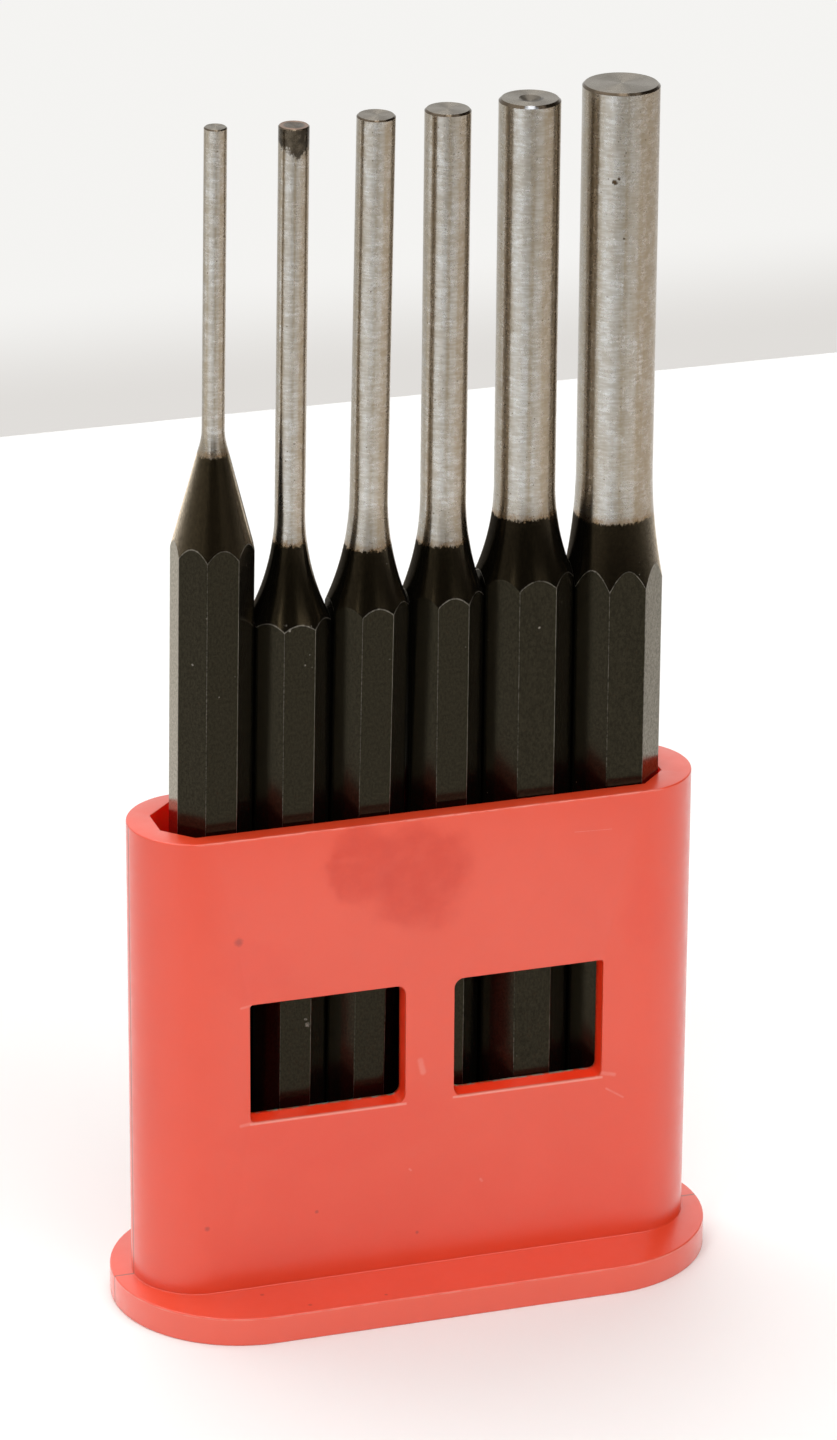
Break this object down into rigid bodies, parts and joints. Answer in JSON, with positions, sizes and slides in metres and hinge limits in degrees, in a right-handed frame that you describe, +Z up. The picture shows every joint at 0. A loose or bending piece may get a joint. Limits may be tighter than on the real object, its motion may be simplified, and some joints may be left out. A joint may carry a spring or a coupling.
{
  "type": "parallel pin punch set in bench holder",
  "caption": "Graded parallel pin punches with octagon shanks, standing tips up in a moulded stadium-plan bench holder with viewing windows.",
  "frame": {"origin": "middle of the holder's flat underside, on the surface that it stands on", "axes": "+Z up along the row of punches, +X along the row from the thinnest punch to the thickest, -Y towards the side with the windows"},
  "size_m": [0.082, 0.0346, 0.1621],
  "materials": {
    "holder_plastic": "satin red moulding",
    "punch_steel": "black oxide shank and flare, ground bright pin"
  },
  "bodies": {
    "holder": {"holder": "holder_plastic"},
    "punch_3mm": {"punch_3mm": "punch_steel"},
    "punch_4mm": {"punch_4mm": "punch_steel"},
    "punch_5mm": {"punch_5mm": "punch_steel"},
    "punch_6mm": {"punch_6mm": "punch_steel"},
    "punch_8mm": {"punch_8mm": "punch_steel"},
    "punch_10mm": {"punch_10mm": "punch_steel"}
  },
  "joints": [
    {"name": "lift_punch_3mm", "type": "slide", "parent": "holder", "child": "punch_3mm", "axis": [0.0061, -0.0279, 0.9996], "range_m": [0, 0.06]},
    {"name": "lift_punch_4mm", "type": "slide", "parent": "holder", "child": "punch_4mm", "axis": [0.0052, -0.0236, 0.9997], "range_m": [0, 0.06]},
    {"name": "lift_punch_5mm", "type": "slide", "parent": "holder", "child": "punch_5mm", "axis": [0.007, -0.0297, 0.9995], "range_m": [0, 0.06]},
    {"name": "lift_punch_6mm", "type": "slide", "parent": "holder", "child": "punch_6mm", "axis": [0.0026, -0.007, 1], "range_m": [0, 0.06]},
    {"name": "lift_punch_8mm", "type": "slide", "parent": "holder", "child": "punch_8mm", "axis": [0.001, 0, 1], "range_m": [0, 0.06]},
    {"name": "lift_punch_10mm", "type": "slide", "parent": "holder", "child": "punch_10mm", "axis": [0, 0, 1], "range_m": [0, 0.06]}
  ]
}
